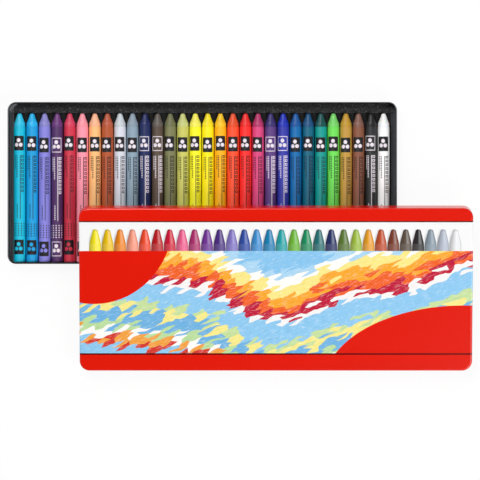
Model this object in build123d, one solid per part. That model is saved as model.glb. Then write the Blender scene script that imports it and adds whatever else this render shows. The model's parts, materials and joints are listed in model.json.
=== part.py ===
from build123d import *
import math
import os

os.makedirs("parts", exist_ok=True)

# A flat tin of wax pastels, all in millimetres. The origin is the centre of the tray's underside,
# +X runs along the row of pastels, +Y points the way their points do, and +Z is up.

# The pastels, from the left. Each one lies alone in its groove.
pastel_colours = (
    "turquoise", "sky_blue", "lilac", "aubergine", "crimson",
    "pink", "apricot", "russet", "light_grey", "blue_grey",
    "navy", "dark_brown", "olive", "light_olive", "lemon",
    "yellow", "golden_orange", "vermilion", "scarlet", "magenta",
    "violet", "ultramarine", "blue", "petrol", "emerald",
    "light_green", "ochre", "brown", "black", "white",
)
pastel_length = 101.6
pastel_diameter = 8.2
pastel_spacing = 0.38
cone_length = 7.0
cone_end_diameter = 3.6
cone_end_round = 0.9
shoulder_round = 2.0
blunt_end_round = 0.4
paper_thickness = 0.15
glue_film = 0.03
bare_wax_behind = 0.6
bare_wax_in_front = 2.2

# The tin's sheet, and the tray drawn from it.
tinplate = 0.35
tray_height = 12.0
tray_corner_radius = 5.5
tray_bend_radius = 1.0
rim_roll = 0.9
rim_flat = 0.04

# The moulded insert that the pastels lie in.
insert_floor = 0.4
insert_shelf_height = 2.6
insert_ridge_height = 1.4
insert_corner_radius = 4.6
insert_edge_chamfer = 0.5
recess_edge_chamfer = 0.45
recess_edge_angle = 45.0
surround_width = 1.6
insert_clearance = 0.3
groove_clearance = 0.4
point_clearance = 0.4
gap_left_of_row = 1.3
gap_right_of_row = 2.3
gap_behind_points = 7.0
gap_at_blunt_ends = 0.6

# The lid slips over the tray's rolled rim.
lid_clearance = 0.3
lid_height = 11.6
lid_bend_radius = 1.2
hem_thickness = 0.7
hem_height = 1.6
hem_round = 0.15
crease_width = 0.8
crease_depth = 0.2
crease_from_back = 9.5
crease_from_front = 11.8

# A thin foam liner is glued under the lid's top, between the two creases.
liner_thickness = 1.0
liner_side_gap = 1.5
liner_crease_gap = 0.8
liner_corner_radius = 3.0

# The lid lies taken off: its front edge is on the table and its left wall leans on the tray's front rim.
lid_overlap = 39.8
lid_left_from_tray_left = 49.2
lean_gap = 0.3
steepest_lean = 45.0
lean_halvings = 60

# Each pastel is drawn out on an arc, with its point first, over the tray's back rim.
draw_centre_from_blunt_end = 6.0
draw_rim_clearance = 0.35
draw_angle = 45.0

# Sizes that follow from those above.
pastel_count = len(pastel_colours)
pastel_pitch = pastel_diameter + pastel_spacing
row_width = pastel_count * pastel_pitch - pastel_spacing
left_margin = insert_clearance + surround_width + gap_left_of_row
right_margin = insert_clearance + surround_width + gap_right_of_row
inner_width = left_margin + row_width + right_margin
inner_depth = gap_at_blunt_ends + pastel_length + gap_behind_points
wall_width = inner_width + 2 * tinplate
wall_depth = inner_depth + 2 * tinplate
rim_overhang = (rim_roll - tinplate) / 2
rim_width = wall_width + 2 * rim_overhang
rim_depth = wall_depth + 2 * rim_overhang
first_pastel_x = -inner_width / 2 + left_margin + pastel_diameter / 2
blunt_end_y = -inner_depth / 2 + gap_at_blunt_ends
point_y = blunt_end_y + pastel_length
groove_bottom_z = tinplate + insert_floor
pastel_axis_z = groove_bottom_z + groove_clearance + pastel_diameter / 2
lid_outset = lid_clearance + hem_thickness
lid_width = rim_width + 2 * lid_outset
lid_depth = rim_depth + 2 * lid_outset
lid_corner_radius = tray_corner_radius + rim_overhang + lid_outset


def rounded_block(width, depth, height, corner, bend=0.0):
    """A block standing on z = 0 with round upright corners, and bent lower edges if bend is given."""
    block = extrude(RectangleRounded(width, depth, corner), height)
    if bend > 0:
        block = fillet(block.faces().sort_by(Axis.Z)[0].edges(), bend)
    return block


def make_tray():
    """Drawn tray with one bent sheet for floor and walls, and a rolled rim round its top."""
    outer = rounded_block(wall_width, wall_depth, tray_height - rim_roll / 2, tray_corner_radius, tray_bend_radius)
    hollow = rounded_block(
        inner_width, inner_depth, tray_height, tray_corner_radius - tinplate, tray_bend_radius - tinplate
    )
    shell = outer - Pos(0, 0, tinplate) * hollow
    ring = RectangleRounded(rim_width, rim_depth, tray_corner_radius + rim_overhang)
    ring -= RectangleRounded(
        rim_width - 2 * rim_roll, rim_depth - 2 * rim_roll, tray_corner_radius + rim_overhang - rim_roll
    )
    roll = Pos(0, 0, tray_height - rim_roll) * extrude(ring, rim_roll)
    ends = roll.faces().sort_by(Axis.Z)
    roll = fillet(ends[0].edges() + ends[-1].edges(), (rim_roll - rim_flat) / 2)
    return shell + roll


def make_insert():
    """Moulded insert: a shelf all round, and between the shelves one groove for each pastel."""
    width = inner_width - 2 * insert_clearance
    depth = inner_depth - 2 * insert_clearance
    block = rounded_block(width, depth, insert_shelf_height, insert_corner_radius)
    block = chamfer(block.faces().sort_by(Axis.Z)[0].edges(), insert_edge_chamfer)
    recess_left = -width / 2 + surround_width
    recess_right = width / 2 - surround_width
    recess_back = point_y + point_clearance
    recess_front = -inner_depth
    outline = Rectangle(recess_right - recess_left, recess_back - recess_front)
    outline = Pos((recess_left + recess_right) / 2, (recess_front + recess_back) / 2) * outline
    block -= Pos(0, 0, insert_floor + insert_ridge_height) * extrude(outline, insert_shelf_height)
    bevel = extrude(outline, insert_shelf_height, taper=-recess_edge_angle)
    block -= Pos(0, 0, insert_shelf_height - recess_edge_chamfer) * bevel
    block = Pos(0, 0, tinplate) * block
    groove_radius = pastel_diameter / 2 + groove_clearance
    groove = extrude(Plane.XZ * Circle(groove_radius), -(recess_back - recess_front))
    grooves = [
        Pos(first_pastel_x + index * pastel_pitch, recess_front, pastel_axis_z) * groove
        for index in range(pastel_count)
    ]
    return block - grooves


def make_wax_stick():
    """Wax stick along +Y from y = 0, with a slightly rounded back end and a blunt cone."""
    radius = pastel_diameter / 2 - paper_thickness - glue_film
    shoulder = pastel_length - cone_length
    outline = Polyline(
        (0, 0),
        (radius, 0),
        (radius, shoulder),
        (cone_end_diameter / 2, pastel_length),
        (0, pastel_length),
        close=True,
    )
    stick = revolve(make_face(outline), Axis.Y)
    rings = stick.edges().filter_by(GeomType.CIRCLE).sort_by(Axis.Y)
    stick = fillet(rings[0], blunt_end_round)
    rings = stick.edges().filter_by(GeomType.CIRCLE).sort_by(Axis.Y)
    stick = fillet(rings[-1], cone_end_round)
    shoulder_ring = stick.edges().filter_by(GeomType.CIRCLE).filter_by_position(
        Axis.Y, shoulder - paper_thickness, shoulder + paper_thickness
    )
    return fillet(shoulder_ring, shoulder_round)


def make_paper_sleeve():
    """Paper sleeve rolled round the stick, short of the cone and of the back end."""
    start = bare_wax_behind
    end = pastel_length - cone_length - bare_wax_in_front
    ring = Circle(pastel_diameter / 2) - Circle(pastel_diameter / 2 - paper_thickness)
    return Pos(0, start, 0) * extrude(Plane.XZ * ring, -(end - start))


def make_lid():
    """Drawn lid with its front face on y = 0 and its open edge on z = 0: bent top edges, hem and creases."""
    hollow_width = lid_width - 2 * tinplate
    hollow_depth = lid_depth - 2 * tinplate
    outer = rounded_block(lid_width, lid_depth, lid_height, lid_corner_radius)
    outer = fillet(outer.faces().sort_by(Axis.Z)[-1].edges(), lid_bend_radius)
    hollow = rounded_block(hollow_width, hollow_depth, lid_height - tinplate, lid_corner_radius - tinplate)
    hollow = fillet(hollow.faces().sort_by(Axis.Z)[-1].edges(), lid_bend_radius - tinplate)
    shell = outer - hollow
    hem = RectangleRounded(lid_width, lid_depth, lid_corner_radius)
    hem -= RectangleRounded(
        lid_width - 2 * hem_thickness, lid_depth - 2 * hem_thickness, lid_corner_radius - hem_thickness
    )
    hem = extrude(hem, hem_height)
    hem = fillet(hem.faces().sort_by(Axis.Z)[0].edges(), hem_round)
    shell += hem
    for crease_y in (lid_depth / 2 - crease_from_back, -lid_depth / 2 + crease_from_front):
        rib = Box(
            hollow_width - 2 * lid_bend_radius,
            crease_width,
            crease_depth,
            align=(Align.CENTER, Align.CENTER, Align.MAX),
        )
        shell += Pos(0, crease_y, lid_height - tinplate) * rib
        press = Box(lid_width, crease_width, crease_depth, align=(Align.CENTER, Align.CENTER, Align.MAX))
        shell -= Pos(0, crease_y, lid_height) * press
    return Pos(0, lid_depth / 2, 0) * shell


def make_liner():
    """Foam sheet against the underside of the lid's top, in the lid's own place."""
    width = lid_width - 2 * (tinplate + liner_side_gap)
    front = crease_from_front + crease_width / 2 + liner_crease_gap
    back = lid_depth - crease_from_back - crease_width / 2 - liner_crease_gap
    sheet = rounded_block(width, back - front, liner_thickness, liner_corner_radius)
    return Pos(0, (front + back) / 2, lid_height - tinplate - liner_thickness) * sheet


def lid_back_y():
    """How far back the lid's open edge reaches as it lies over the tray."""
    return -rim_depth / 2 + lid_overlap


def lid_lean():
    """Angle in degrees at which the lid's left wall passes the tray's front rim by lean_gap."""
    roll_y = -rim_depth / 2 + rim_roll / 2
    roll_z = tray_height - rim_roll / 2
    wanted = rim_roll / 2 + lean_gap
    low = 0.0
    high = steepest_lean
    for _ in range(lean_halvings):
        angle = (low + high) / 2
        slope = math.radians(angle)
        run = roll_y - lid_back_y() + lid_depth * math.cos(slope)
        if run * math.sin(slope) - roll_z * math.cos(slope) < wanted:
            low = angle
        else:
            high = angle
    return angle


def lid_place():
    """Where the taken-off lid lies, as a move from its own place."""
    lean = lid_lean()
    centre_x = -rim_width / 2 + lid_left_from_tray_left + lid_width / 2
    front_y = lid_back_y() - lid_depth * math.cos(math.radians(lean))
    return Pos(centre_x, front_y, 0) * Rot(lean, 0, 0)


def draw_centre():
    """Centre of the arc on which a pastel is drawn out, as y and z.

    It lies above the blunt end, as high as still lifts the lowest point of the cone's end over the rim.
    """
    centre_y = blunt_end_y + draw_centre_from_blunt_end
    point_low_z = pastel_axis_z - cone_end_diameter / 2
    lift = tray_height + draw_rim_clearance - point_low_z
    travel = inner_depth / 2 - rim_overhang - point_y
    centre_z = point_low_z + (point_y - centre_y) * travel / lift
    return centre_y, centre_z


def main():
    export_step(make_tray(), "parts/base_tin.step")
    export_step(make_insert(), "parts/pastel_insert.step")
    place = lid_place()
    export_step(place * make_lid(), "parts/lid_shell.step")
    export_step(place * make_liner(), "parts/lid_liner.step")
    stick = make_wax_stick()
    sleeve = make_paper_sleeve()
    for index, colour in enumerate(pastel_colours):
        spot = Pos(first_pastel_x + index * pastel_pitch, blunt_end_y, pastel_axis_z)
        pastel = Compound(children=[spot * stick, spot * sleeve])
        export_step(pastel, f"parts/pastel_{index + 1:02d}_{colour}.step")
    print("tray over the rim", round(rim_width, 2), "x", round(rim_depth, 2), "x", tray_height)
    print("lid", round(lid_width, 2), "x", round(lid_depth, 2), "leans at", round(lid_lean(), 3), "degrees")
    print("pastels are drawn out about y, z =", [round(value, 3) for value in draw_centre()])


main()
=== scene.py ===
# %% [markdown]
# # A tin of wax pastels
# The tin's sheet metal, its insert and the thirty pastels come packed in a frame, at their real size in
# metres. This lesson gives them their finishes: lacquered tinplate, grained plastic, moulded wax and printed
# paper. The pastels are also modelled afresh, because a rolled paper sleeve and a soft wax point need finer
# forms.

# %% Load the frame and keep its box
import json
import math
import random

import bpy
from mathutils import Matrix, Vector

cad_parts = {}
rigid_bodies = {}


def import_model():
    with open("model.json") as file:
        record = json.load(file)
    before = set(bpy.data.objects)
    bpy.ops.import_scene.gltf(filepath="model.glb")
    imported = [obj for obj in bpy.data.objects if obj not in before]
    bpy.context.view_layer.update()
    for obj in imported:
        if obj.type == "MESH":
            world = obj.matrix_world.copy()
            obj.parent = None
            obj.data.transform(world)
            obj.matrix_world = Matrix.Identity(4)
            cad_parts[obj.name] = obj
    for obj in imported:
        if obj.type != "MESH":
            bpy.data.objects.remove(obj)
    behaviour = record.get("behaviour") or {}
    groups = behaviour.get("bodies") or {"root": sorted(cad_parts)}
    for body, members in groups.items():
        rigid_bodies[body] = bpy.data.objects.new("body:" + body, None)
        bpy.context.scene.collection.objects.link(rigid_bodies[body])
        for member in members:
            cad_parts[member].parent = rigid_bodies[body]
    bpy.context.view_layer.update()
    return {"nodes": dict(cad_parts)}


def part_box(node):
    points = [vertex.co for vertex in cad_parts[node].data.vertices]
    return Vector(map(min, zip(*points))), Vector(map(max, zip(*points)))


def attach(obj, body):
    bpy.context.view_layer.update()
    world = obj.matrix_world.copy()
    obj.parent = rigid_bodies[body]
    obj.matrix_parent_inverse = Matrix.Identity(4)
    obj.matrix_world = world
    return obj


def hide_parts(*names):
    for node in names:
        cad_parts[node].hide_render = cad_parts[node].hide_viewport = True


TO_MM = 1000.0
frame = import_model()
tray_low, tray_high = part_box("base_tin")
pastel_nodes = sorted(name for name in frame["nodes"] if name.startswith("pastel_"))
pastel_nodes.remove("pastel_insert")
print("pastels:", len(pastel_nodes))

# %% [markdown]
# ## The camera
# The tin was photographed from straight above. A long lens far away keeps the tin's edges parallel, as they
# are there. The tray's back left corner is the known point: it fixes where the camera stands, once we know
# how many millimetres a pixel covers.

# %% Place the camera straight above
IMAGE_SIDE = 480
MM_PER_PIXEL = 0.682
TRAY_LEFT_PIXEL = 7.5
TRAY_BACK_PIXEL = 102.0
CAMERA_HEIGHT = 3.0
SENSOR_WIDTH = 36.0

image_width = IMAGE_SIDE * MM_PER_PIXEL / TO_MM
aim_x = tray_low[0] + (IMAGE_SIDE / 2 - TRAY_LEFT_PIXEL) * MM_PER_PIXEL / TO_MM
aim_y = tray_high[1] - (IMAGE_SIDE / 2 - TRAY_BACK_PIXEL) * MM_PER_PIXEL / TO_MM
camera_data = bpy.data.cameras.new("overhead_camera")
camera_data.sensor_width = SENSOR_WIDTH
camera_data.lens = SENSOR_WIDTH * CAMERA_HEIGHT / image_width
camera_data.clip_start = 0.1
camera_data.clip_end = 60.0
camera = bpy.data.objects.new("overhead_camera", camera_data)
camera.location = (aim_x, aim_y, tray_high[2] + CAMERA_HEIGHT)
scene_objects = bpy.context.scene.collection.objects
scene_objects.link(camera)
bpy.context.scene.camera = camera
print("lens in mm:", round(camera_data.lens, 1))

# %% [markdown]
# ## Helpers for materials
# Colours are picked as sRGB hex values, as on a screen, but the renderer works in linear light, so one
# function turns them. A second small function adds any node, sets it up and links it, and gives back the
# output to use next. A colour ramp also gets its stops there, as steps that don't blend.

# %% Colour and node helpers
def linear(hex_text):
    """Linear RGBA of an sRGB hex colour."""
    channels = [int(hex_text[i:i + 2], 16) / 255 for i in (0, 2, 4)]
    return tuple(c / 12.92 if c <= 0.04045 else ((c + 0.055) / 1.055) ** 2.4 for c in channels) + (1.0,)


def add(tree, kind, *values, take=0, named=None, stops=(), **settings):
    """Adds a node, sets it, feeds its sockets in order and by name or number, and returns one output."""
    made = tree.nodes.new("ShaderNode" + kind)
    for name, value in settings.items():
        setattr(made, name, value)
    for key, value in list(enumerate(values)) + list((named or {}).items()):
        if isinstance(value, bpy.types.NodeSocket):
            tree.links.new(value, made.inputs[key])
        else:
            made.inputs[key].default_value = value
    if stops:
        made.color_ramp.interpolation = "CONSTANT"
        made.color_ramp.elements.remove(made.color_ramp.elements[1])
    for index, (start, shade) in enumerate(stops):
        stop = made.color_ramp.elements[0] if index == 0 else made.color_ramp.elements.new(start)
        stop.position = start
        stop.color = linear(shade)
    return made.outputs[take] if made.outputs else made


def new_material(name):
    """An empty node material and its tree."""
    made = bpy.data.materials.new(name)
    made.use_nodes = True
    made.node_tree.nodes.clear()
    return made, made.node_tree


print("white in linear light:", linear("ffffff"))

# %% [markdown]
# Some nodes have several outputs, or hold sockets for numbers, vectors and colours side by side. Those used
# here get names. A Mix node that works on colours is set up the same way each time.

# %% Sockets and outputs with names
COLOUR_A, COLOUR_B = 6, 7
AS_COLOUR = {"data_type": "RGBA", "take": 2}
OBJECT_PLACE = 3
NOISE_COLOUR = 1
CELL_MIDDLE = 2
AS_NUMBER = 1
print("colour sockets of a Mix node:", COLOUR_A, COLOUR_B)

# %% [markdown]
# ## Black lacquered tinplate
# The tray is drawn from one sheet of tinplate and stoved with black lacquer. Lacquer on flat sheet is smooth
# but never a mirror: it shows a slight orange peel a few millimetres across, and a soft roughness change.
# At the short ends the rolled rim is painted grey as a highlight, standing in for the light it catches
# there.
# A mask from the place on the tray gives that.

# %% Make the black lacquer
ORANGE_PEEL_MM = 2.4
SMEAR_MM = 40.0
RELIEF = 0.0002
LACQUER_IOR = 1.5
RIM_HIGHLIGHT_FROM_END = (0.0022, 0.0014)
RIM_HIGHLIGHT_FROM_TOP = (0.0016, 0.0006)
BRIGHTEST_RIM_HIGHLIGHT = 0.75

def black_lacquer():
    """Stoved black lacquer on drawn tinplate: dark, satin, with a faint orange peel."""
    made, tree = new_material("black_lacquered_tinplate")
    place = add(tree, "TexCoord", take=OBJECT_PLACE)
    x, _, z = add(tree, "SeparateXYZ", place).node.outputs
    peel = add(tree, "TexNoise", place, named={"Scale": TO_MM / ORANGE_PEEL_MM, "Detail": 2.0})
    smear = add(tree, "TexNoise", place, named={"Scale": TO_MM / SMEAR_MM, "Detail": 3.0})
    # Painted highlight: the top of the rim at the short ends turns grey, as if lit.
    far_out = add(tree, "Math", x, operation="ABSOLUTE")
    at_end = add(tree, "MapRange", far_out, *(tray_high[0] - inset for inset in RIM_HIGHLIGHT_FROM_END))
    high_up = add(tree, "MapRange", z, *(tray_high[2] - inset for inset in RIM_HIGHLIGHT_FROM_TOP))
    painted_highlight = add(tree, "Math", at_end, high_up, operation="MULTIPLY")
    painted_highlight = add(tree, "Math", painted_highlight, BRIGHTEST_RIM_HIGHLIGHT, operation="MULTIPLY")
    colour = linear("141416")
    for mask, shade in ((smear, "1c1c1f"), (painted_highlight, "62656a")):
        colour = add(tree, "Mix", mask, named={COLOUR_A: colour, COLOUR_B: linear(shade)}, **AS_COLOUR)
    roughness = add(tree, "MapRange", smear, 0.0, 1.0, 0.30, 0.42)
    bump = add(tree, "Bump", named={"Strength": 0.12, "Distance": RELIEF, "Height": peel})
    surface = add(tree, "BsdfPrincipled", named={
        "Base Color": colour, "Roughness": roughness, "IOR": LACQUER_IOR, "Normal": bump})
    add(tree, "OutputMaterial", surface)
    return made


tray_finish = black_lacquer()
print("made", tray_finish.name)

# %% [markdown]
# ## Grained black polystyrene
# The insert is vacuum-formed from a thin black sheet whose mould gives it a fine leather grain. The grain's
# cells are about a millimetre across, and the light their crests catch is painted as pale specks on the flat
# shelf behind the points. Below the shelf the sheet was drawn thin and stays dull, and there it is painted
# near black as shade. The bevel round the recess is painted grey as a highlight. So are the two ends,
# standing in for the light on the tray's inner walls: brighter at the left, and brightest as a painted glint
# at the back left corner.

# %% Colour the insert by place
insert_low, insert_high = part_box("pastel_insert")
SHELF_LEVEL = insert_high[2]
BEVEL_FROM, RECESS_FROM = SHELF_LEVEL - 0.00008, SHELF_LEVEL - 0.0006
END_MARGIN = 0.0030
CORNER_GLINT_REACH = (0.0066, 0.0044)

def insert_colour(tree, place, specks):
    """The insert's colour by place, with painted highlights and shade, and a mask that is 1 in its recess.
    """
    x, y, z = add(tree, "SeparateXYZ", place).node.outputs
    # Painted highlights on the grain's crests and on the bevel, and painted shade in the recess.
    crest_highlight = add(tree, "MapRange", specks, 0.57, 0.70)
    bevel_highlight = add(tree, "Math", z, BEVEL_FROM, operation="LESS_THAN")
    recess = add(tree, "Math", z, RECESS_FROM, operation="LESS_THAN")
    colour = linear("0d0d0e")
    for mask, shade in ((crest_highlight, "74747a"), (bevel_highlight, "4c4c50"), (recess, "0f0f10")):
        colour = add(tree, "Mix", mask, named={COLOUR_A: colour, COLOUR_B: linear(shade)}, **AS_COLOUR)
    # Painted highlights at both ends, standing in for the lit inner walls. The left end is brighter, and
    # there is a painted glint at the back left corner.
    left = add(tree, "Math", x, 0.0, operation="LESS_THAN")
    from_corner = add(tree, "Math", x, y, operation="SUBTRACT")
    corner_at = insert_low[0] - insert_high[1]
    corner_glint = add(tree, "MapRange", from_corner, *(corner_at + reach for reach in CORNER_GLINT_REACH))
    painted_highlight = linear("3c3f44")
    for mask, shade in ((left, "54585c"), (corner_glint, "9a9ca0")):
        painted_highlight = add(tree, "Mix", mask, named={COLOUR_A: painted_highlight, COLOUR_B: linear(shade)}, **AS_COLOUR)
    between_ends = add(tree, "Math", x, 0.0, insert_high[0] - END_MARGIN, operation="COMPARE")
    without_highlight = add(tree, "Math", between_ends, corner_glint, operation="SUBTRACT")
    colour = add(tree, "Mix", without_highlight, named={COLOUR_A: painted_highlight, COLOUR_B: colour}, **AS_COLOUR)
    return colour, recess


print("shelf level in mm:", round(SHELF_LEVEL * TO_MM, 2))

# %% [markdown]
# A Voronoi pattern gives the creases between the grain's cells. Noise makes them wander, so that they don't
# look like a tiling, and finer noise gives the specks.

# %% Make the insert's plastic
GRAIN_CELL_MM = 1.3
GRAIN_SPECK_MM = 1.1
GRAIN_WANDER_MM = 3.0
WANDER_REACH = 0.0015
PLASTIC_IOR = 1.5

def grained_polystyrene():
    """Vacuum-formed black polystyrene with a leather grain: matt, with faint painted highlights on its
    crests.
    """
    made, tree = new_material("grained_black_polystyrene")
    place = add(tree, "TexCoord", take=OBJECT_PLACE)
    wander = add(tree, "TexNoise", place, named={"Scale": TO_MM / GRAIN_WANDER_MM, "Detail": 2.0},
                 take=NOISE_COLOUR)
    bent = add(tree, "VectorMath", wander, (WANDER_REACH,) * 3, operation="MULTIPLY")
    moved = add(tree, "VectorMath", place, bent, operation="ADD")
    cells = add(tree, "TexVoronoi", moved, named={"Scale": TO_MM / GRAIN_CELL_MM},
                feature="DISTANCE_TO_EDGE")
    specks = add(tree, "TexNoise", place, named={
        "Scale": TO_MM / GRAIN_SPECK_MM, "Detail": 4.0, "Roughness": 0.7})
    colour, recess = insert_colour(tree, place, specks)
    height = add(tree, "MapRange", cells, 0.0, 0.12)
    relief = add(tree, "Math", height, specks, operation="ADD")
    bump = add(tree, "Bump", named={"Strength": 0.55, "Distance": RELIEF, "Height": relief})
    roughness = add(tree, "MapRange", recess, 0.0, 1.0, 0.58, 0.80)
    surface = add(tree, "BsdfPrincipled", named={
        "Base Color": colour, "Roughness": roughness, "IOR": PLASTIC_IOR, "Normal": bump})
    add(tree, "OutputMaterial", surface)
    return made


insert_finish = grained_polystyrene()
print("made", insert_finish.name)

# %% [markdown]
# ## Moulded wax
# A wax pastel is cast from pigment and hard wax. It is opaque in colour, but light sinks a little way in, so
# its point looks soft, and handling burnishes it to a low shine with small scuffs. Wax has an index of about
# 1.44.

# %% Make a wax
SCUFF_MM = 1.6
PIGMENT_CLOUD_MM = 6.0
WAX_IOR = 1.44
WAX_LIGHT_DEPTH = 0.0006

def moulded_wax(name, tint):
    """Cast wax of one colour: softly shiny, slightly translucent, with scuffs and pigment clouds."""
    made, tree = new_material("moulded_wax_" + name)
    place = add(tree, "TexCoord", take=OBJECT_PLACE)
    cloud = add(tree, "TexNoise", place, named={"Scale": TO_MM / PIGMENT_CLOUD_MM, "Detail": 3.0})
    scuff = add(tree, "TexNoise", place, named={
        "Scale": TO_MM / SCUFF_MM, "Detail": 4.0, "Roughness": 0.65})
    base = linear(tint)
    pale = tuple(min(1.0, c * 1.12 + 0.02) for c in base[:3]) + (1.0,)
    deep = tuple(c * 0.86 for c in base[:3]) + (1.0,)
    colour = add(tree, "Mix", cloud, named={COLOUR_A: deep, COLOUR_B: pale}, **AS_COLOUR)
    roughness = add(tree, "MapRange", scuff, 0.3, 0.7, 0.26, 0.42)
    bump = add(tree, "Bump", named={"Strength": 0.25, "Distance": RELIEF, "Height": scuff})
    surface = add(tree, "BsdfPrincipled", named={
        "Base Color": colour, "Roughness": roughness, "IOR": WAX_IOR, "Normal": bump,
        "Subsurface Weight": 0.15, "Subsurface Scale": WAX_LIGHT_DEPTH})
    add(tree, "OutputMaterial", surface)
    return made


print("light sinks into wax by mm:", WAX_LIGHT_DEPTH * TO_MM)

# %% [markdown]
# ## Printed paper for the sleeves
# Each stick is wrapped in a slip of coated paper in its own colour, printed mostly in dark ink. The slip
# carries a dark square near each end with three spots in it, a long rule with a column of little frames
# beside it, columns of fine dashes, and a block of small dots. All of it is drawn with distances in
# millimetres: across the slip from the squares' middle, and along it from the blunt end.
# Dark colours are printed the other way round, with pale ink and the squares only outlined.

# %% Sizes of the print on a sleeve
SQUARE_WIDE, SQUARE_TALL = 7.7, 10.0
SQUARE_PLACES = (9.7, 80.6)
SPOTS = ((0.0, 2.0), (-1.55, -1.1), (1.55, -1.1))
SPOT_RADIUS = 1.35
OUTLINE_THICK = 0.5
RULE_ACROSS, RULE_WIDE = 1.15, 0.5
RULE_FROM, RULE_TO = 28.8, 72.4
FRAME_ACROSS, FRAME_WIDE, FRAME_TALL = 2.8, 2.0, 1.75
FRAME_THICK = 0.5
FRAME_PITCH = 2.6
FRAMES_FROM, FRAMES_TO = 46.8, 72.8
DASH_WIDE, DASH_LONG, DASH_PITCH = 0.85, 0.7, 1.2
DASH_BLOCKS = ((-1.2, 57.0, 72.2), (-2.5, 62.5, 72.2), (-0.9, 29.4, 39.5))
DOT_PITCH_ACROSS, DOT_PITCH_ALONG = 2.08, 1.6
DOT_RADIUS = 0.46
DOT_COLUMNS = 5
DOTS_FROM, DOTS_TO = 16.8, 26.4
print("print spans", SQUARE_PLACES[0] - SQUARE_TALL / 2, "to", SQUARE_PLACES[1] + SQUARE_TALL / 2, "mm")

# %% [markdown]
# A mark is a mask that is 1 inside the mark and 0 outside. A rectangle compares two distances, a spot
# compares the distance from its centre, and a column repeats a mark by wrapping the distance along the slip.

# %% Masks for the marks
def rectangle(tree, across, along, centre, size):
    """1 inside a rectangle given by centre and full size."""
    sides = []
    for value, middle, full in ((across, centre[0], size[0]), (along, centre[1], size[1])):
        sides.append(add(tree, "Math", value, middle, full / 2, operation="COMPARE"))
    return add(tree, "Math", *sides, operation="MULTIPLY")


def stretch(tree, across, along, middle, wide, span):
    """1 inside a rectangle given by its middle and width across, and by where it starts and ends along."""
    centre = (middle, (span[0] + span[1]) / 2)
    return rectangle(tree, across, along, centre, (wide, span[1] - span[0]))


def repeated(tree, value, pitch, first=0.0):
    """The value counted from the middle of its own repeat, with one repeat's middle at first."""
    counted = add(tree, "Math", value, first, operation="SUBTRACT")
    return add(tree, "Math", counted, pitch / 2, -pitch / 2, operation="WRAP")


def round_spot(tree, across, along, centre, radius):
    """1 inside a round spot."""
    place = add(tree, "CombineXYZ", across, along)
    distance = add(tree, "VectorMath", place, (*centre, 0.0), operation="DISTANCE", take=AS_NUMBER)
    return add(tree, "Math", distance, radius, operation="LESS_THAN")


def either(tree, marks):
    """1 where any of the marks is."""
    joined = marks[0]
    for mark in marks[1:]:
        joined = add(tree, "Math", joined, mark, operation="MAXIMUM")
    return joined


def without(tree, mark, hole):
    """The mark where the hole isn't."""
    rest = add(tree, "Math", mark, hole, operation="SUBTRACT")
    return add(tree, "Math", rest, 0.0, operation="MAXIMUM")


print("shapes of marks: rectangle, stretch, round spot")

# %% [markdown]
# The two squares are filled on light paper and outlined on dark paper. The front square's spots stay apart
# as a mask of their own, because they are printed pale on every colour.

# %% The squares and their spots
def squares(tree, across, along, outlined):
    """The ink of both squares, and the spots of the front one."""
    ink = []
    for middle in SQUARE_PLACES:
        square = rectangle(tree, across, along, (0.0, middle), (SQUARE_WIDE, SQUARE_TALL))
        spots = either(tree, [
            round_spot(tree, across, along, (aside, middle + ahead), SPOT_RADIUS) for aside, ahead in SPOTS])
        if outlined:
            inner_size = (SQUARE_WIDE - 2 * OUTLINE_THICK, SQUARE_TALL - 2 * OUTLINE_THICK)
            inner = rectangle(tree, across, along, (0.0, middle), inner_size)
            ink += [without(tree, square, inner), spots]
        else:
            ink.append(without(tree, square, spots))
    return ink, spots


print("spots in each square:", len(SPOTS))

# %% [markdown]
# The finer marks are the rule, the frames, the dashes and the dots. Each column is one mark, repeated along
# the slip and cut to the column's own stretch.

# %% The finer marks
def frames_in_column(tree, across, along):
    """A column of little frames beside the rule."""
    row = repeated(tree, along, FRAME_PITCH, FRAMES_FROM + FRAME_PITCH / 2)
    outer = rectangle(tree, across, row, (FRAME_ACROSS, 0.0), (FRAME_WIDE, FRAME_TALL))
    hole_size = (FRAME_WIDE - 2 * FRAME_THICK, FRAME_TALL - 2 * FRAME_THICK)
    hole = rectangle(tree, across, row, (FRAME_ACROSS, 0.0), hole_size)
    wide = FRAME_WIDE + FRAME_THICK
    column = stretch(tree, across, along, FRAME_ACROSS, wide, (FRAMES_FROM, FRAMES_TO))
    return add(tree, "Math", column, without(tree, outer, hole), operation="MULTIPLY")


def fine_marks(tree, across, along):
    """The rule, the frames, the dashes and the dots."""
    ink = [stretch(tree, across, along, RULE_ACROSS, RULE_WIDE, (RULE_FROM, RULE_TO))]
    ink.append(frames_in_column(tree, across, along))
    dash = add(tree, "Math", repeated(tree, along, DASH_PITCH), 0.0, DASH_LONG / 2, operation="COMPARE")
    for aside, start, end in DASH_BLOCKS:
        block = stretch(tree, across, along, aside, DASH_WIDE, (start, end))
        ink.append(add(tree, "Math", block, dash, operation="MULTIPLY"))
    row = repeated(tree, along, DOT_PITCH_ALONG, DOTS_FROM + DOT_PITCH_ALONG / 2)
    dots = round_spot(tree, repeated(tree, across, DOT_PITCH_ACROSS), row, (0.0, 0.0), DOT_RADIUS)
    area = stretch(tree, across, along, 0.0, DOT_PITCH_ACROSS * DOT_COLUMNS, (DOTS_FROM, DOTS_TO))
    ink.append(add(tree, "Math", dots, area, operation="MULTIPLY"))
    return ink


print("rule in mm:", round(RULE_TO - RULE_FROM, 1))

# %% [markdown]
# The slip's paper has a slight sheen from its coating. Its fibres show as a faint bump about a third of a
# millimetre across, drawn at twice that so that it shows. Ink lies flat on it and is a little glossier.

# %% Make a printed paper
PAPER_FIBRE_MM = 0.7
PAPER_CLOUD_MM = 9.0
PAPER_IOR = 1.5
PAPER_RELIEF = 0.0001
SLEEVE_AROUND = 26.0
DARK_INK = "1c1c20"
PALE_INK = "e6dee6"

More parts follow.
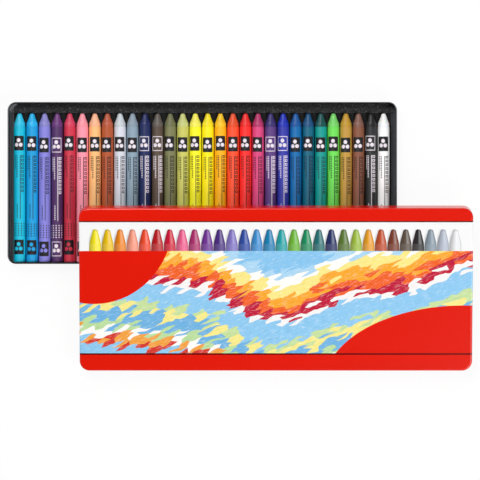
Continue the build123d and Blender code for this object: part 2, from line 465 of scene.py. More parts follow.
def printed_paper(name, tint, outlined, length):
    """Coated paper of one colour, printed: satin, with the sleeve's marks and faint fibres."""
    made, tree = new_material("printed_paper_" + name)
    slip_x, slip_y, _ = add(tree, "SeparateXYZ", add(tree, "UVMap", uv_map="slip")).node.outputs
    around = (-SLEEVE_AROUND / 2, SLEEVE_AROUND / 2)
    across = add(tree, "MapRange", slip_x, 0.0, 1.0, *around, clamp=False)
    along = add(tree, "Math", slip_y, length, operation="MULTIPLY")
    ink, front_spots = squares(tree, across, along, outlined)
    mask = either(tree, ink + fine_marks(tree, across, along))
    place = add(tree, "TexCoord", take=OBJECT_PLACE)
    fibre = add(tree, "TexNoise", place, named={"Scale": TO_MM / PAPER_FIBRE_MM, "Detail": 3.0})
    cloud = add(tree, "TexNoise", place, named={"Scale": TO_MM / PAPER_CLOUD_MM, "Detail": 2.0})
    base = linear(tint)
    colour = tuple(c * 0.93 for c in base[:3]) + (1.0,)
    ink_colour = linear(PALE_INK if outlined else DARK_INK)
    for where, laid in ((cloud, base), (front_spots, linear(PALE_INK)), (mask, ink_colour)):
        colour = add(tree, "Mix", where, named={COLOUR_A: colour, COLOUR_B: laid}, **AS_COLOUR)
    roughness = add(tree, "MapRange", mask, 0.0, 1.0, 0.42, 0.34)
    bump = add(tree, "Bump", named={"Strength": 0.15, "Distance": PAPER_RELIEF, "Height": fibre})
    surface = add(tree, "BsdfPrincipled", named={
        "Base Color": colour, "Roughness": roughness, "IOR": PAPER_IOR, "Normal": bump})
    add(tree, "OutputMaterial", surface)
    return made


print("slip goes round in mm:", SLEEVE_AROUND)

# %% [markdown]
# ## The colours
# Thirty colours, named for what an artist would call them. The paper is printed to match its wax, but the
# match is never exact, so every wax has a colour of its own. Dark papers get pale ink.

# %% Colours of the pastels
PAPER_COLOURS = {
    "turquoise": "08bedc", "sky_blue": "089edc", "lilac": "8884dc", "aubergine": "502c62",
    "crimson": "d03048", "pink": "ff98ac", "apricot": "ffc07c", "russet": "b4542c", "light_grey": "d8dce6",
    "blue_grey": "8ca4b4", "navy": "18265a", "dark_brown": "58483c", "olive": "7c7e54",
    "light_olive": "cccc64", "lemon": "fffa24", "yellow": "ffee0c", "golden_orange": "ffb80c",
    "vermilion": "ff522c", "scarlet": "ff2c28", "magenta": "dc4680", "violet": "5c3c80",
    "ultramarine": "3238a8", "blue": "006cb0", "petrol": "006480", "emerald": "009c94",
    "light_green": "70e258", "ochre": "c49840", "brown": "88543e", "black": "282c2c", "white": "ffffff",
}
WAX_COLOURS = {
    "turquoise": "24bcde", "sky_blue": "18b0e8", "lilac": "8884c8", "aubergine": "6a3478",
    "crimson": "d0385a", "pink": "fc94a4", "apricot": "ffb48c", "russet": "b45438", "light_grey": "c8ced4",
    "blue_grey": "8a9caa", "navy": "14205a", "dark_brown": "605850", "olive": "70724c",
    "light_olive": "c8ce80", "lemon": "faec5c", "yellow": "fce018", "golden_orange": "fcc41c",
    "vermilion": "e85024", "scarlet": "e8201e", "magenta": "b43068", "violet": "34286c",
    "ultramarine": "142eb4", "blue": "08549c", "petrol": "084c7c", "emerald": "085050",
    "light_green": "78d268", "ochre": "c2962a", "brown": "80584c", "black": "1c1c1e", "white": "fcfcff",
}
DARK_PAPERS = {"aubergine", "navy", "dark_brown", "violet", "ultramarine", "black"}
print("colours:", len(PAPER_COLOURS), "of which dark:", len(DARK_PAPERS))

# %% [markdown]
# ## The wax stick
# The stick is cast upright: a plain cylinder whose front tapers to a blunt point over about 7 mm. It could
# be a cylinder joined to a cone, but the cast has no sharp shoulder, so its side is one outline that is
# turned round the stick's axis. The outline gives distances from the blunt end and from the axis in
# millimetres. The point's own outline is in shares of its length and of the stick's radius.

# %% Outline of the stick
POINT_LENGTH = 7.4
POINT_OUTLINE = (
    (0.0, 1.0), (0.04, 0.997), (0.09, 0.976), (0.17, 0.915), (0.28, 0.825), (0.45, 0.690), (0.62, 0.575),
    (0.78, 0.472), (0.88, 0.408), (0.94, 0.352), (0.975, 0.280), (0.993, 0.180), (1.0, 0.08),
)
BLUNT_OUTLINE = ((0.12, 0.0), (0.10, 0.45), (0.02, 0.8), (0.0, 0.9), (0.12, 0.97), (0.40, 1.0))
STICK_RINGS = 6

def stick_outline(length, radius):
    """Distance along and radius of the wax stick's side, from blunt end to point, in mm."""
    shoulder = length - POINT_LENGTH
    side = [(along, radius * share) for along, share in BLUNT_OUTLINE]
    side += [(shoulder * ring / STICK_RINGS, radius) for ring in range(1, STICK_RINGS)]
    side += [(shoulder + POINT_LENGTH * along, radius * share) for along, share in POINT_OUTLINE]
    side.append((length, 0.0))
    return side


print("points of the cone's outline:", len(POINT_OUTLINE))

# %% [markdown]
# Turning makes one ring of points for each point of the outline, and a single point where the outline meets
# the axis. Faces join each ring to the next.

# %% Turning an outline
SEGMENTS = 56

def mesh_object(name, points, faces):
    """A new object in the scene from points in metres and faces."""
    mesh = bpy.data.meshes.new(name)
    mesh.from_pydata(points, [], faces)
    made = bpy.data.objects.new(name, mesh)
    scene_objects.link(made)
    return made


def turned(name, outline, axis_place):
    """Mesh object of an outline turned round a line along +Y through axis_place."""
    points, faces, starts = [], [], []
    for along, radius in outline:
        starts.append(len(points))
        for step in range(SEGMENTS if radius > 0 else 1):
            angle = 2 * math.pi * step / SEGMENTS
            points.append((axis_place[0] + radius * math.sin(angle) / TO_MM,
                           axis_place[1] + along / TO_MM,
                           axis_place[2] + radius * math.cos(angle) / TO_MM))
    for row in range(len(outline) - 1):
        a, b = starts[row], starts[row + 1]
        for step in range(SEGMENTS):
            after = (step + 1) % SEGMENTS
            if outline[row][1] == 0:
                faces.append((a, b + step, b + after))
            elif outline[row + 1][1] == 0:
                faces.append((a + after, a + step, b))
            else:
                faces.append((a + after, a + step, b + step, b + after))
    made = mesh_object(name, points, faces)
    made.data.shade_smooth()
    return made


print("points in a ring:", SEGMENTS)

# %% [markdown]
# ## The paper sleeve
# The slip of paper goes once round the stick and laps over its own edge, so the outer edge stands one
# paper thickness proud. A tube would lose that edge. Here the slip is a sheet wound on a slow spiral, with
# an inner and an outer face. Its ends are cut a little unevenly.

# %% Points of a wound slip
PAPER_MM = 0.09
LAP_ANGLE = math.radians(125)
TURNS = 1.10
LAYER_PITCH = 1.15
WIND_STEPS = 66
LENGTH_STEPS = 8

def slip_points(axis_place, span, outer_radius, twist, cut):
    """Points of the slip in metres, each with its place on the flat slip: share around, and mm along."""
    points, slip = [], []
    for step in range(WIND_STEPS + 1):
        angle = LAP_ANGLE - 2 * math.pi * TURNS * (1 - step / WIND_STEPS)
        radius = outer_radius - PAPER_MM * (LAP_ANGLE - angle) / (2 * math.pi) * LAYER_PITCH
        uneven = cut * math.sin(2 * angle + twist * 9) + cut * 0.5 * math.sin(5 * angle)
        for layer in (0, 1):
            reach = (radius - PAPER_MM * layer) / TO_MM
            for part in range(LENGTH_STEPS + 1):
                share = part / LENGTH_STEPS
                along = span[0] + (span[1] - span[0]) * share + uneven * (2 * share - 1)
                turn = angle + twist
                points.append((axis_place[0] + reach * math.sin(turn), axis_place[1] + along / TO_MM,
                               axis_place[2] + reach * math.cos(turn)))
                slip.append((0.5 + angle * outer_radius / SLEEVE_AROUND, along))
    return points, slip


print("paper turns:", TURNS)

# %% [markdown]
# Faces close the slip all round: its outer and inner face, both cut ends, and both long edges. A UV map
# named slip then keeps each point's place on the flat slip, and the print is drawn from that.

# %% Winding the sleeve
SHARP_ANGLE = math.radians(40)

def slip_faces():
    """Faces of the slip, in the order in which slip_points gives its points."""
    row, last, final = LENGTH_STEPS + 1, LENGTH_STEPS, WIND_STEPS
    faces = []

    def at(step, layer, part):
        return (step * 2 + layer) * row + part

    for step in range(WIND_STEPS):
        after = step + 1
        for part in range(LENGTH_STEPS):
            ahead = part + 1
            faces.append((at(step, 0, part), at(step, 0, ahead), at(after, 0, ahead), at(after, 0, part)))
            faces.append((at(step, 1, part), at(after, 1, part), at(after, 1, ahead), at(step, 1, ahead)))
        faces.append((at(step, 0, 0), at(after, 0, 0), at(after, 1, 0), at(step, 1, 0)))
        faces.append((at(step, 0, last), at(step, 1, last), at(after, 1, last), at(after, 0, last)))
    for part in range(LENGTH_STEPS):
        ahead = part + 1
        faces.append((at(0, 0, part), at(0, 1, part), at(0, 1, ahead), at(0, 0, ahead)))
        faces.append((at(final, 0, part), at(final, 0, ahead), at(final, 1, ahead), at(final, 1, part)))
    return faces


def wound_sleeve(name, axis_place, span, outer_radius, twist, cut):
    """A paper slip wound round a line along +Y. twist turns it, and cut makes its ends a little uneven."""
    points, slip = slip_points(axis_place, span, outer_radius, twist, cut)
    made = mesh_object(name, points, slip_faces())
    layer = made.data.uv_layers.new(name="slip")
    for loop in made.data.loops:
        across, along = slip[loop.vertex_index]
        layer.data[loop.index].uv = (across, along / TO_MM)
    made.data.shade_smooth()
    made.data.set_sharp_from_angle(angle=SHARP_ANGLE)
    return made


print("faces in a sleeve:", len(slip_faces()))

# %% [markdown]
# ## Thirty pastels
# Each pastel's box in the frame gives its axis, its length and its thickness. The sleeves are packed by
# machine, so no two prints face exactly the same way: a fixed seed gives each a small twist and shift.

# %% Make the pastels
BARE_BEHIND = 0.6
BARE_IN_FRONT = 1.8
SLEEVE_GAP = 0.02
MEAN_TWIST = math.radians(-8)
MOST_TWIST = math.radians(7)
MOST_SHIFT = 0.7
MOST_CUT = 0.07
LEAST_CUT_SHARE = 0.2

chance = random.Random(30)
for node in pastel_nodes:
    colour_name = node.split("_", 2)[2]
    low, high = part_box(node)
    length = (high[1] - low[1]) * TO_MM
    outer = (high[0] - low[0]) / 2 * TO_MM
    axis_place = ((low[0] + high[0]) / 2, low[1], (low[2] + high[2]) / 2)
    wax_radius = outer - PAPER_MM * (1 + TURNS * LAYER_PITCH) - SLEEVE_GAP
    stick = turned("wax_stick_" + node[7:], stick_outline(length, wax_radius), axis_place)
    stick.data.materials.append(moulded_wax(colour_name, WAX_COLOURS[colour_name]))
    twist = MEAN_TWIST + chance.uniform(-MOST_TWIST, MOST_TWIST)
    cut = chance.uniform(LEAST_CUT_SHARE, 1.0) * MOST_CUT
    span = (BARE_BEHIND, length - POINT_LENGTH - BARE_IN_FRONT)
    sleeve = wound_sleeve("paper_sleeve_" + node[7:], axis_place, span, outer, twist, cut)
    shift = chance.uniform(-MOST_SHIFT, MOST_SHIFT)
    for item in sleeve.data.uv_layers["slip"].data:
        item.uv = (item.uv[0], (item.uv[1] * TO_MM + shift) / length)
    outlined = colour_name in DARK_PAPERS
    sleeve.data.materials.append(printed_paper(colour_name, PAPER_COLOURS[colour_name], outlined, length))
    for piece, slot_name in ((stick, "wax_" + colour_name), (sleeve, "paper_" + colour_name)):
        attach(piece, node)
        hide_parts(node)
print("pastels made:", len(pastel_nodes), "of", round(length, 1), "by", round(2 * outer, 1), "mm")

# %% [markdown]
# ## The lid's own directions
# The lid lies tilted, so its print needs the lid's own directions: along its length, down its face from the
# back edge, and into its thickness. The tilt is read from the lid's largest flat face, and the corner from
# its points.

# %% Read the lid's directions
lid_mesh = frame["nodes"]["lid_shell"].data
lid_top = max((face for face in lid_mesh.polygons if face.normal.z > 0), key=lambda face: face.area)
lid_out = lid_top.normal.copy()
lid_right = Vector((1, 0, 0))
lid_down = lid_right.cross(lid_out)
if lid_down.y > 0:
    lid_down.negate()
spans = []
for direction in (lid_right, lid_down, lid_out):
    reach = [direction.dot(point.co) for point in lid_mesh.vertices]
    spans.append((min(reach), max(reach)))
lid_corner = lid_right * spans[0][0] + lid_down * spans[1][0] + lid_out * spans[2][1]
LID_LONG, LID_DEEP, LID_THICK = [(high - low) * TO_MM for low, high in spans]
print("lid in its own directions, mm:", round(LID_LONG, 2), round(LID_DEEP, 2), round(LID_THICK, 2))

# %% [markdown]
# ## The lid's print
# The lid is printed flat in red, white and process colours, then varnished and drawn. Its face has a red
# band at back and front, each set off by a pressed crease, a white band with a row of pastel points, and a
# broad picture. The picture is a free pattern: ribbons of short wax strokes that swing across the lid, with
# a plain red field rising into it at two corners. Distances are in millimetres, across from the left and
# down from the back.

# %% Places and colours on the lid
LID_RED, LID_RED_SHADE = "de1804", "da1703"
CREASE_SHADE_RED = "4c0504"
PRINT_WHITE = "f0f0f0"
WHITE_FROM = 9.2
PICTURE_FROM = 29.4
PICTURE_TO = LID_DEEP - 11.8
CREASE_LINES = ((WHITE_FROM, 0.8), (PICTURE_TO, 1.0))
RED_FIELDS = (((10.0, 8.0), (54.0, 58.0)), ((LID_LONG - 6.0, 122.0), (95.0, 55.0)))
print("picture is", round(PICTURE_TO - PICTURE_FROM, 1), "mm deep")

# %% [markdown]
# The row of points is one point, repeated. The count of the repeat picks its colour from a ramp with one
# step for each colour. A point's foot stands nearly straight and its flank leans in, so its half width is
# the lesser of two straight lines, with a soft bend where they meet.

# %% One point of the row
FIRST_POINT = 11.05
POINT_PITCH = 8.432
POINT_TALL = 15.0
POINT_PRINTS = (
    "f6e61e", "eec408", "ee8a14", "f59a80", "ee4c28", "bf1c20", "d2163c", "ea6090", "b03070", "743498",
    "4c2c84", "8478c4", "2c4ea4", "3a90d0", "0a84b6", "1ea6aa", "70b838", "129060", "1c7274", "1e3066",
    "5c7a32", "a0be42", "e6a022", "c25228", "7e3e2a", "5e5044", "2a2a2c", "8a9aa6", "b6becc", "eaeaec",
)
POINT_COUNT = len(POINT_PRINTS)
FOOT_LEAN, FOOT_HALF = -0.45, 4.18
FLANK_LEAN, FLANK_HALF = -3.75, 5.26
SOFT_BEND = 0.5
CROWN_DROP = -0.018

def counted_points(tree, across):
    """Each place's point number, its distance from that point's middle in mm, and 1 inside the row."""
    left_end = FIRST_POINT - POINT_PITCH / 2
    right_end = FIRST_POINT + POINT_PITCH * (POINT_COUNT - 0.5)
    counted = add(tree, "MapRange", across, left_end, right_end, 0.0, float(POINT_COUNT), clamp=False)
    number = add(tree, "Math", counted, operation="FLOOR")
    inside = add(tree, "Math", number, (POINT_COUNT - 1) / 2, POINT_COUNT / 2, operation="COMPARE")
    share = add(tree, "Math", counted, number, operation="SUBTRACT")
    share = add(tree, "Math", share, 0.5, operation="SUBTRACT")
    return number, add(tree, "Math", share, POINT_PITCH, operation="MULTIPLY"), inside


def point_shape(tree, sideways, height):
    """Half width of a point at a height in mm, and 1 inside the point."""
    foot = add(tree, "Math", height, FOOT_LEAN, FOOT_HALF, operation="MULTIPLY_ADD")
    flank = add(tree, "Math", height, FLANK_LEAN, FLANK_HALF, operation="MULTIPLY_ADD")
    half = add(tree, "Math", foot, flank, SOFT_BEND, operation="SMOOTH_MIN")
    crown = add(tree, "Math", sideways, sideways, operation="MULTIPLY")
    top = add(tree, "Math", crown, CROWN_DROP, 1.0, operation="MULTIPLY_ADD")
    below_top = add(tree, "Math", height, top, operation="LESS_THAN")
    apart = add(tree, "Math", sideways, operation="ABSOLUTE")
    within = add(tree, "Math", apart, half, operation="LESS_THAN")
    return half, add(tree, "Math", within, below_top, operation="MULTIPLY")


print("points printed:", POINT_COUNT, "over", round(POINT_COUNT * POINT_PITCH, 1), "mm")

# %% [markdown]
# Each printed point is shaded as if round and lit from the right: pale at its foot, with a shine right of
# the middle, dark at both flanks and at the tip, and a soft shadow on the white to its left. Each of these
# is a mask, and its shade is laid over what is there.

# %% Shade one point
FOOT_HEIGHT = (0.31, 0.34)
SHINE_AT, SHINE_REACH = 0.38, 0.45
DARK_SHADE = "2a1418"
SHADOW_GREY = "6a7074"
SHADOW_REACH = 1.8

def shaded_point(tree, colour, side, height):
    """The point's colour with its shading. side is -1 at the left flank and 1 at the right."""
    foot = add(tree, "MapRange", height, FOOT_HEIGHT[1], FOOT_HEIGHT[0], 0.0, 0.05)
    upper = add(tree, "MapRange", height, *FOOT_HEIGHT, 0.3, 1.0)
    off_shine = add(tree, "Math", side, SHINE_AT, operation="SUBTRACT")
    off_shine = add(tree, "Math", off_shine, operation="ABSOLUTE")
    shine = add(tree, "MapRange", off_shine, SHINE_REACH, 0.0, 0.0, 0.22)
    shine = add(tree, "Math", shine, upper, operation="MULTIPLY")
    left = add(tree, "MapRange", side, 0.1, -1.0, 0.0, 0.55)
    right = add(tree, "MapRange", side, 0.75, 1.0, 0.0, 0.35)
    tip = add(tree, "MapRange", height, 0.86, 1.0, 0.0, 0.3)
    layers = [(mask, "ffffff") for mask in (foot, shine)]
    layers += [(mask, DARK_SHADE) for mask in (left, right, tip)]
    for mask, shade in layers:
        colour = add(tree, "Mix", mask, named={COLOUR_A: colour, COLOUR_B: linear(shade)}, **AS_COLOUR)
    return colour


def shadow_of_point(tree, sideways, half, height):
    """Strength of the soft shadow left of a point."""
    leftward = add(tree, "Math", sideways, -1.0, operation="MULTIPLY")
    beyond = add(tree, "Math", leftward, half, operation="SUBTRACT")
    fade = add(tree, "MapRange", beyond, 0.0, SHADOW_REACH, 0.5, 0.0)
    low = add(tree, "MapRange", height, 1.08, 0.6)
    strength = add(tree, "Math", fade, low, operation="MULTIPLY")
    on_left = add(tree, "Math", sideways, 0.0, operation="LESS_THAN")
    return add(tree, "Math", strength, on_left, operation="MULTIPLY")


print("shadow reaches", SHADOW_REACH, "mm from a point")

# %% [markdown]
# The row starts from the white of the band. The shadow is laid on it first and the point over that, and both
# are kept within the row.

# %% The row of points
def row_of_points(tree, across, down):
    """Colour of the white band with its row of points."""
    number, sideways, inside = counted_points(tree, across)
    height = add(tree, "MapRange", down, PICTURE_FROM, PICTURE_FROM - POINT_TALL, clamp=False)
    half, shape = point_shape(tree, sideways, height)
    pick = add(tree, "Math", number, 0.5, operation="ADD")
    pick = add(tree, "Math", pick, POINT_COUNT, operation="DIVIDE")
    stops = [(index / POINT_COUNT, shade) for index, shade in enumerate(POINT_PRINTS)]
    side = add(tree, "Math", sideways, half, operation="DIVIDE")
    point = shaded_point(tree, add(tree, "ValToRGB", pick, stops=stops), side, height)
    strength = shadow_of_point(tree, sideways, half, height)
    colour = linear(PRINT_WHITE)
    for mask, laid in ((strength, linear(SHADOW_GREY)), (shape, point)):
        shown = add(tree, "Math", mask, inside, operation="MULTIPLY")
        colour = add(tree, "Mix", shown, named={COLOUR_A: colour, COLOUR_B: laid}, **AS_COLOUR)
    return colour


print("white band in mm:", round(PICTURE_FROM - WHITE_FROM, 1))

# %% [markdown]
# The picture is laid down like strokes of wax. A stretched Voronoi pattern gives short dabs, each about 9 mm
# long and 2 mm wide. Every dab takes one colour, read from waving ribbons at the dab's own middle, with a
# little chance, so the ribbons' borders look hand-laid.

# %% Ribbons of dabs
STROKE_SIZE = (9.0, 2.2, 1.0)
STROKE_TURN = (0.0, 0.0, math.radians(-22))
BEND_MM, BEND_REACH = 16.0, 7.0
WAVES = ((38.0, 15.0, 0.9), (15.0, 4.5, 2.0))
STRAY = 9.0
RIBBONS_FROM, RIBBONS_TO = PICTURE_FROM - WAVES[0][1], PICTURE_TO + WAVES[0][1]
RIBBONS = (
    (0.00, "86c2ea"), (0.13, "a9d3ee"), (0.18, "f8f6f2"), (0.23, "f7e486"), (0.29, "f6a62c"),
    (0.35, "ee6224"), (0.41, "c01c3c"), (0.46, "f4efee"), (0.50, "8cc6ec"), (0.63, "c4dc9c"),
    (0.67, "f4e688"), (0.71, "6eb0de"), (0.80, "b8da9c"), (0.84, "f8f6f2"), (0.87, "f0a040"),
    (0.91, "d43a30"), (0.94, "8cc6ec"),
)

def bent_place(tree, across, down):
    """The place on the lid, bent a little so that no stroke runs quite straight."""
    flat = add(tree, "CombineXYZ", across, down)
    wander = add(tree, "TexNoise", flat, named={"Scale": 1 / BEND_MM, "Detail": 2.0}, take=NOISE_COLOUR)
    shaken = add(tree, "VectorMath", wander, (BEND_REACH, BEND_REACH, 0.0), operation="MULTIPLY")
    return add(tree, "VectorMath", flat, shaken, operation="ADD")


def dab_colour(tree, bent):
    """One colour for each dab, from the ribbon that its middle lies on."""
    stroke = {"Rotation": STROKE_TURN, "Scale": STROKE_SIZE}
    laid = add(tree, "Mapping", bent, named=stroke, vector_type="TEXTURE")
    dab = add(tree, "TexVoronoi", laid, named={"Scale": 1.0}, take=CELL_MIDDLE, voronoi_dimensions="2D")
    luck = add(tree, "SeparateXYZ", dab.node.outputs["Color"])
    middle_x, level, _ = add(tree, "SeparateXYZ", add(tree, "Mapping", dab, named=stroke)).node.outputs
    for length, reach, start in WAVES:
        phase = add(tree, "Math", middle_x, 1 / length, start, operation="MULTIPLY_ADD")
        wave = add(tree, "Math", phase, operation="SINE")
        level = add(tree, "Math", wave, reach, level, operation="MULTIPLY_ADD")
    stray = add(tree, "Math", luck, 0.5, operation="SUBTRACT")
    level = add(tree, "Math", stray, STRAY, level, operation="MULTIPLY_ADD")
    return add(tree, "ValToRGB", add(tree, "MapRange", level, RIBBONS_FROM, RIBBONS_TO), stops=RIBBONS)


print("ribbon colours:", len(RIBBONS))

# %% [markdown]
# A fine noise, stretched along the strokes, scratches the white ground through the wax in some places and
# thickens the wax in others.

# %% The picture of strokes
SCRATCH_SIZE = (5.0, 0.7, 1.0)
GROUND_WHITE, THICK_WAX = "fffdf8", "4a3a5a"

def stroke_picture(tree, across, down):
    """Colour of the picture: dabs of wax in waving ribbons."""
    bent = bent_place(tree, across, down)
    place = add(tree, "Mapping", bent, named={"Rotation": STROKE_TURN, "Scale": SCRATCH_SIZE},
                vector_type="TEXTURE")
    scratch = add(tree, "TexNoise", place, named={"Scale": 1.0, "Detail": 4.0, "Roughness": 0.7})
    bare = add(tree, "MapRange", scratch, 0.54, 0.74, 0.0, 0.6)
    thick = add(tree, "MapRange", scratch, 0.46, 0.28, 0.0, 0.20)
    colour = dab_colour(tree, bent)
    for mask, shade in ((bare, GROUND_WHITE), (thick, THICK_WAX)):
        colour = add(tree, "Mix", mask, named={COLOUR_A: colour, COLOUR_B: linear(shade)}, **AS_COLOUR)
    return colour


print("scratches in mm:", SCRATCH_SIZE[:2])

# %% [markdown]
# The whole face is built up from red, as a printer lays colour over colour: the two bands, the red fields
# that rise into the picture, and a dark red along the creases, painted as their shade.

# %% The lid's printed face
RED_CLOUD_MM = 30.0
FACE_DEPTH = 1.0

def in_field(tree, across, down, centre, size):
    """1 inside an ellipse on the lid's face."""
    parts = []
    for value, middle, half in ((across, centre[0], size[0]), (down, centre[1], size[1])):
        scaled = add(tree, "MapRange", value, middle, middle + half, clamp=False)
        parts.append(add(tree, "Math", scaled, 2.0, operation="POWER"))
    distance = add(tree, "Math", *parts, operation="ADD")
    return add(tree, "Math", distance, 1.0, operation="LESS_THAN")


def face_print(tree, place, across, down, into):
    """Colour of the lid's outside."""
    cloud = add(tree, "TexNoise", place, named={"Scale": TO_MM / RED_CLOUD_MM, "Detail": 2.0})
    reds = {COLOUR_A: linear(LID_RED_SHADE), COLOUR_B: linear(LID_RED)}
    red = add(tree, "Mix", cloud, named=reds, **AS_COLOUR)
    picture = stroke_picture(tree, across, down)
    for centre, size in RED_FIELDS:
        field = in_field(tree, across, down, centre, size)
        picture = add(tree, "Mix", field, named={COLOUR_A: picture, COLOUR_B: red}, **AS_COLOUR)
    points = row_of_points(tree, across, down)
    layers = [(points, (WHITE_FROM + PICTURE_FROM) / 2, PICTURE_FROM - WHITE_FROM),
              (picture, (PICTURE_FROM + PICTURE_TO) / 2, PICTURE_TO - PICTURE_FROM)]
    # Painted shade: a dark red line along each pressed crease.
    layers += [(linear(CREASE_SHADE_RED), middle, width) for middle, width in CREASE_LINES]
    on_face = add(tree, "Math", into, FACE_DEPTH, operation="LESS_THAN")
    colour = red
    for laid, middle, width in layers:
        band = add(tree, "Math", down, middle, width / 2, operation="COMPARE")
        shown = add(tree, "Math", band, on_face, operation="MULTIPLY")
        colour = add(tree, "Mix", shown, named={COLOUR_A: colour, COLOUR_B: laid}, **AS_COLOUR)
    return colour


print("red fields:", len(RED_FIELDS), "and creases:", len(CREASE_LINES))

# %% [markdown]
# The lid's inside isn't printed: there the bare tin shows, a bright grey metal with a brushed look from
# rolling. A point belongs to the inside if it lies deeper than most of the sheet's thickness under the lid's
# outer form, a block with rounded corners and a rounded top edge.

# %% Tell the inside from the outside
SHEET_MM = 0.35
INSIDE_SHARE = 0.8
LID_CORNER_MM = 6.775
LID_BEND_MM = 1.2

def beyond_round(tree, first, second, radius):
    """Distance beyond a rounded edge, from those beyond its two faces. It is negative inside."""
    raised = [add(tree, "Math", value, radius, operation="ADD") for value in (first, second)]
    outside = [add(tree, "Math", value, 0.0, operation="MAXIMUM") for value in raised]
    apart = add(tree, "VectorMath", add(tree, "CombineXYZ", *outside), operation="LENGTH", take=AS_NUMBER)
    nearest = add(tree, "Math", *raised, operation="MAXIMUM")
    within = add(tree, "Math", nearest, 0.0, operation="MINIMUM")
    reach = add(tree, "Math", apart, within, operation="ADD")
    return add(tree, "Math", reach, radius, operation="SUBTRACT")


def inside_lid(tree, across, down, into):
    """1 on the lid's inner side."""
    sides = []
    for value, full in ((across, LID_LONG), (down, LID_DEEP)):
        centred = add(tree, "Math", value, full / 2, operation="SUBTRACT")
        centred = add(tree, "Math", centred, operation="ABSOLUTE")
        sides.append(add(tree, "Math", centred, full / 2, operation="SUBTRACT"))
    wall = beyond_round(tree, *sides, LID_CORNER_MM)
    above = add(tree, "Math", into, -1.0, operation="MULTIPLY")
    depth = beyond_round(tree, wall, above, LID_BEND_MM)
    return add(tree, "Math", depth, -SHEET_MM * INSIDE_SHARE, operation="LESS_THAN")


print("inside begins under the surface by mm:", SHEET_MM * INSIDE_SHARE)

# %% [markdown]
# ## Printed and varnished tinplate
# Under the varnish the print is flat colour. The varnish itself is smooth and glossy, with the same orange
# peel as any stoved coat. The bare tin's rolling lines are drawn coarser than they are, so that they show.

# %% Make the lid's finish
ROLLING_MM, ROLLING_LONG_MM = 0.5, 40.0

def printed_tinplate():
    """Offset-printed, varnished tinplate outside, bare rolled tin inside."""
    made, tree = new_material("printed_varnished_tinplate")
    place = add(tree, "TexCoord", take=OBJECT_PLACE)
    offset = add(tree, "VectorMath", place, tuple(lid_corner), operation="SUBTRACT")
    across, down, into = [
        add(tree, "VectorMath", offset, tuple(direction * TO_MM), operation="DOT_PRODUCT", take=AS_NUMBER)
        for direction in (lid_right, lid_down, -lid_out)]
    inner = inside_lid(tree, across, down, into)
    rolling = (TO_MM / ROLLING_LONG_MM, TO_MM / ROLLING_MM, TO_MM / ROLLING_MM)
    rolled = add(tree, "Mapping", place, named={"Scale": rolling})
    rolled = add(tree, "TexNoise", rolled, named={"Scale": 1.0, "Detail": 3.0})
    greys = {COLOUR_A: linear("b9bbbd"), COLOUR_B: linear("d6d7d8")}
    tin = add(tree, "Mix", rolled, named=greys, **AS_COLOUR)
    outer = face_print(tree, place, across, down, into)
    colour = add(tree, "Mix", inner, named={COLOUR_A: outer, COLOUR_B: tin}, **AS_COLOUR)
    peel = add(tree, "TexNoise", place, named={"Scale": TO_MM / ORANGE_PEEL_MM, "Detail": 2.0})
    bump = add(tree, "Bump", named={"Strength": 0.08, "Distance": RELIEF, "Height": peel})
    roughness = add(tree, "MapRange", inner, 0.0, 1.0, 0.18, 0.36)
    surface = add(tree, "BsdfPrincipled", named={
        "Base Color": colour, "Metallic": inner, "Roughness": roughness, "Normal": bump})
    add(tree, "OutputMaterial", surface)
    return made


lid_finish = printed_tinplate()
print("made", lid_finish.name)

# %% [markdown]
# ## Foam sheet
# The liner is thin closed-cell polyethylene foam: matt, off-white, with cells of about half a millimetre
# that are just seen as a fine pebble. They are drawn somewhat coarser, so that they show.

# %% Make the foam
FOAM_CELL_MM = 0.8
FOAM_IOR = 1.5

def foam_sheet():
    """Closed-cell foam sheet: matt off-white with a fine pebble."""
    made, tree = new_material("closed_cell_foam_sheet")
    place = add(tree, "TexCoord", take=OBJECT_PLACE)
    cells = add(tree, "TexVoronoi", place, named={"Scale": TO_MM / FOAM_CELL_MM})
    whites = {COLOUR_A: linear("efeee8"), COLOUR_B: linear("dcdad2")}
    colour = add(tree, "Mix", cells, named=whites, **AS_COLOUR)
    bump = add(tree, "Bump", named={"Strength": 0.4, "Distance": RELIEF, "Height": cells})
    surface = add(tree, "BsdfPrincipled", named={
        "Base Color": colour, "Roughness": 0.85, "IOR": FOAM_IOR, "Normal": bump})
    add(tree, "OutputMaterial", surface)
    return made


foam_finish = foam_sheet()
print("made", foam_finish.name)

# %% [markdown]
# The tray, the insert, the lid and the liner keep their own meshes and only get these finishes.

# %% Give the finishes
finishes = {
    "base_tin": tray_finish, "pastel_insert": insert_finish,
    "lid_shell": lid_finish, "lid_liner": foam_finish,
}
for node, finish in finishes.items():
    materials = frame["nodes"][node].data.materials
    materials.clear()
    materials.append(finish)
print("finishes given to", ", ".join(finishes))

# %% [markdown]
# ## Floor
# The photograph has a pure white ground and almost no shadow. The floor is matt white, and on rays from the
# camera, and on those that gloss or glass sends on, it adds the rest that makes it white. A soft shadow of
# the tin stays.

# %% Floor
FLOOR_HALF = 6.0
FLOOR_DROP = 0.0002
FLOOR_OWN_WHITE = 0.92

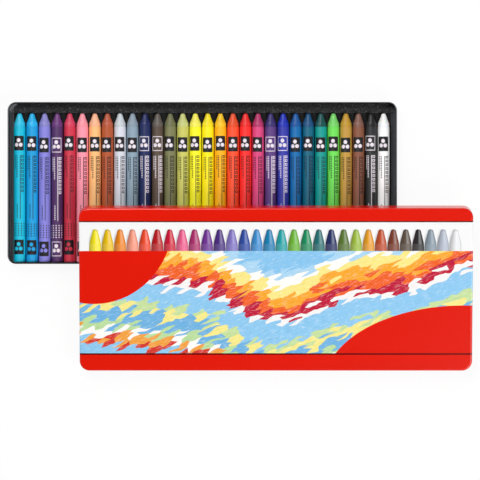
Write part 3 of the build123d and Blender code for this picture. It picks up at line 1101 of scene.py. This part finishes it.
edge_places = ((-FLOOR_HALF, -FLOOR_HALF), (FLOOR_HALF, -FLOOR_HALF),
               (FLOOR_HALF, FLOOR_HALF), (-FLOOR_HALF, FLOOR_HALF))
floor = mesh_object("floor", [(x, y, -FLOOR_DROP) for x, y in edge_places], [(0, 1, 2, 3)])
floor_finish, floor_tree = new_material("matt_white_floor")
matt = add(floor_tree, "BsdfDiffuse", linear("f4f4f4"))
glow = add(floor_tree, "Emission", linear("ffffff"), 1.0)
ray = add(floor_tree, "LightPath").node.outputs
seen = either(floor_tree, [ray["Is Camera Ray"], ray["Is Glossy Ray"], ray["Is Transmission Ray"]])
share = add(floor_tree, "Math", seen, FLOOR_OWN_WHITE, operation="MULTIPLY")
add(floor_tree, "OutputMaterial", add(floor_tree, "MixShader", share, matt, glow))
floor.data.materials.append(floor_finish)
print("floor side in m:", 2 * FLOOR_HALF)

# %% [markdown]
# ## Sky
# The sky is white at the horizon, pale all round and darker straight above, where the camera would stand.
# Black lacquer seen from above mirrors that darker part, which keeps it black.

# %% Sky
SKY_HORIZON = 1.0
SKY_SIDE = 0.38
SKY_TOP = 0.04

world = bpy.data.worlds.new("studio")
world.use_nodes = True
sky = world.node_tree
sky.nodes.clear()
_, _, up = add(sky, "SeparateXYZ", add(sky, "TexCoord")).node.outputs
falling = add(sky, "MapRange", up, 0.3, 0.9, SKY_SIDE, SKY_TOP)
horizon = add(sky, "MapRange", up, 0.02, 0.12, SKY_HORIZON, 0.0)
strength = add(sky, "Math", falling, horizon, operation="MAXIMUM")
add(sky, "OutputWorld", add(sky, "Background", linear("ffffff"), strength))
bpy.context.scene.world = world
print("sky", SKY_HORIZON, "to", SKY_SIDE, "to", SKY_TOP)

# %% [markdown]
# ## Soft boxes
# The main soft box hangs high at the back left, and a wide one at the front right fills in. A small one
# stands at the back, where the wax points mirror it as a thin streak, and another at the back left lights
# the tray's corner. None is straight above, so the flat lacquer doesn't mirror them. Each has its place and
# its side in metres, and its power in watts.

# %% Soft boxes
SOFT_BOXES = (
    ("key_box", (-0.35, 0.60, 1.42), 0.6, 12.0),
    ("fill_box", (0.80, -0.90, 1.10), 1.0, 16.5),
    ("corner_box", (-0.80, 0.75, 0.90), 0.3, 2.6),
    ("streak_box", (-0.05, 1.00, 0.95), 0.2, 2.4),
)
for name, place, side, power in SOFT_BOXES:
    box_data = bpy.data.lights.new(name, "AREA")
    box_data.shape = "SQUARE"
    box_data.size = side
    box_data.energy = power
    box = bpy.data.objects.new(name, box_data)
    box.location = place
    box.rotation_mode = "QUATERNION"
    box.rotation_quaternion = (Vector((aim_x, aim_y, 0)) - Vector(place)).to_track_quat("-Z", "Y")
    scene_objects.link(box)
bpy.context.scene.view_settings.view_transform = "Standard"
print("soft boxes:", len(SOFT_BOXES))
